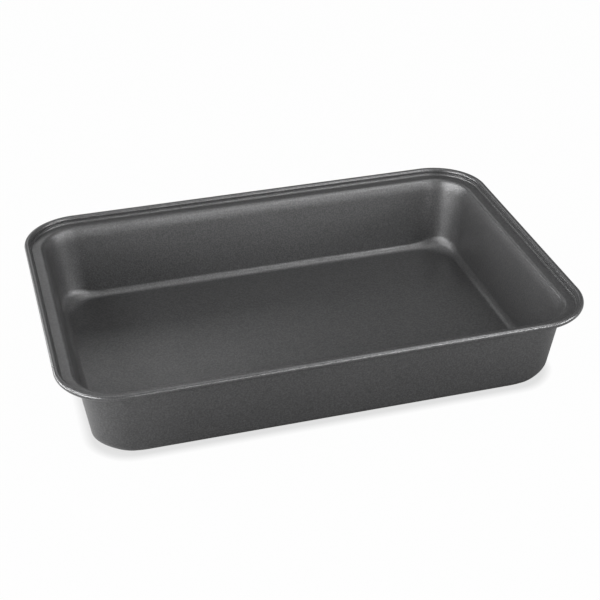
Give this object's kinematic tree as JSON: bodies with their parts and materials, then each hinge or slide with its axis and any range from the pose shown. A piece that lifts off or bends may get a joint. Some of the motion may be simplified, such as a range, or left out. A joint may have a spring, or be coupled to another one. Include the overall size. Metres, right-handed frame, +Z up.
{
  "type": "roasting pan",
  "caption": "Deep rectangular roasting pan of pressed, non-stick coated steel with sloping walls, a stepped flange and a rim rolled over a wire.",
  "frame": {"origin": "on the table, under the middle of the pan's underside", "axes": "+X along the long side, +Y along the short side towards the back, +Z up out of the pan"},
  "size_m": [0.38, 0.263, 0.065],
  "materials": {
    "coated_steel": "dark grey non-stick coating with a fine metallic fleck, satin",
    "wire_steel": "bare drawn wire"
  },
  "bodies": {
    "root": {"pan_shell": "coated_steel", "rim_wire": "wire_steel"}
  },
  "joints": []
}
